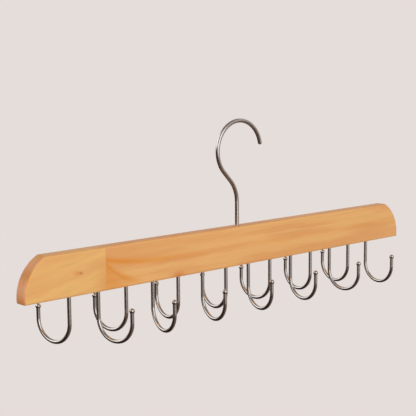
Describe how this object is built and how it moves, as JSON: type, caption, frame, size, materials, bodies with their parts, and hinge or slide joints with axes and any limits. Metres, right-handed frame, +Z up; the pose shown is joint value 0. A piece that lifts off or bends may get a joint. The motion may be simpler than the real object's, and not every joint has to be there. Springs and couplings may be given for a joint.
{
  "type": "tie hanger",
  "caption": "Flat wooden bar with a row of ball-tipped wire hooks below it on alternate sides, hung from a swivelling wire rail hook.",
  "frame": {"origin": "the rail seat: the crest of the swivel hook's inner side, on the bar's middle plane, where the rail carries it", "axes": "+X along the bar, +Y to the back, +Z up"},
  "size_m": [0.452, 0.0724, 0.1717],
  "materials": {
    "beech": "satin clear lacquer over pale hardwood",
    "beech_end": "satin clear lacquer over pale hardwood, a lighter length with slanted grain",
    "bright_steel": "polished bright plating on steel wire",
    "hook_steel": "polished bright plating on steel wire",
    "washer_steel": "plain zinc plated steel"
  },
  "bodies": {
    "rail_hook": {"swivel_hook": "bright_steel"},
    "hook_bar": {"bar": "beech", "end_block": "beech_end", "swivel_washer": "washer_steel", "tie_hook_01": "hook_steel", "tie_hook_02": "hook_steel", "tie_hook_03": "hook_steel", "tie_hook_04": "hook_steel", "tie_hook_05": "hook_steel", "tie_hook_06": "hook_steel", "tie_hook_07": "hook_steel", "tie_hook_08": "hook_steel", "tie_hook_09": "hook_steel", "tie_hook_10": "hook_steel", "tie_hook_11": "hook_steel", "tie_hook_12": "hook_steel", "tie_hook_13": "hook_steel", "tie_hook_14": "hook_steel"}
  },
  "joints": [
    {"name": "bar_swivel", "type": "hinge", "parent": "rail_hook", "child": "hook_bar", "pos_m": [-0.0033, 0, -0.0916], "axis": [0, 0, 1], "continuous": true}
  ]
}
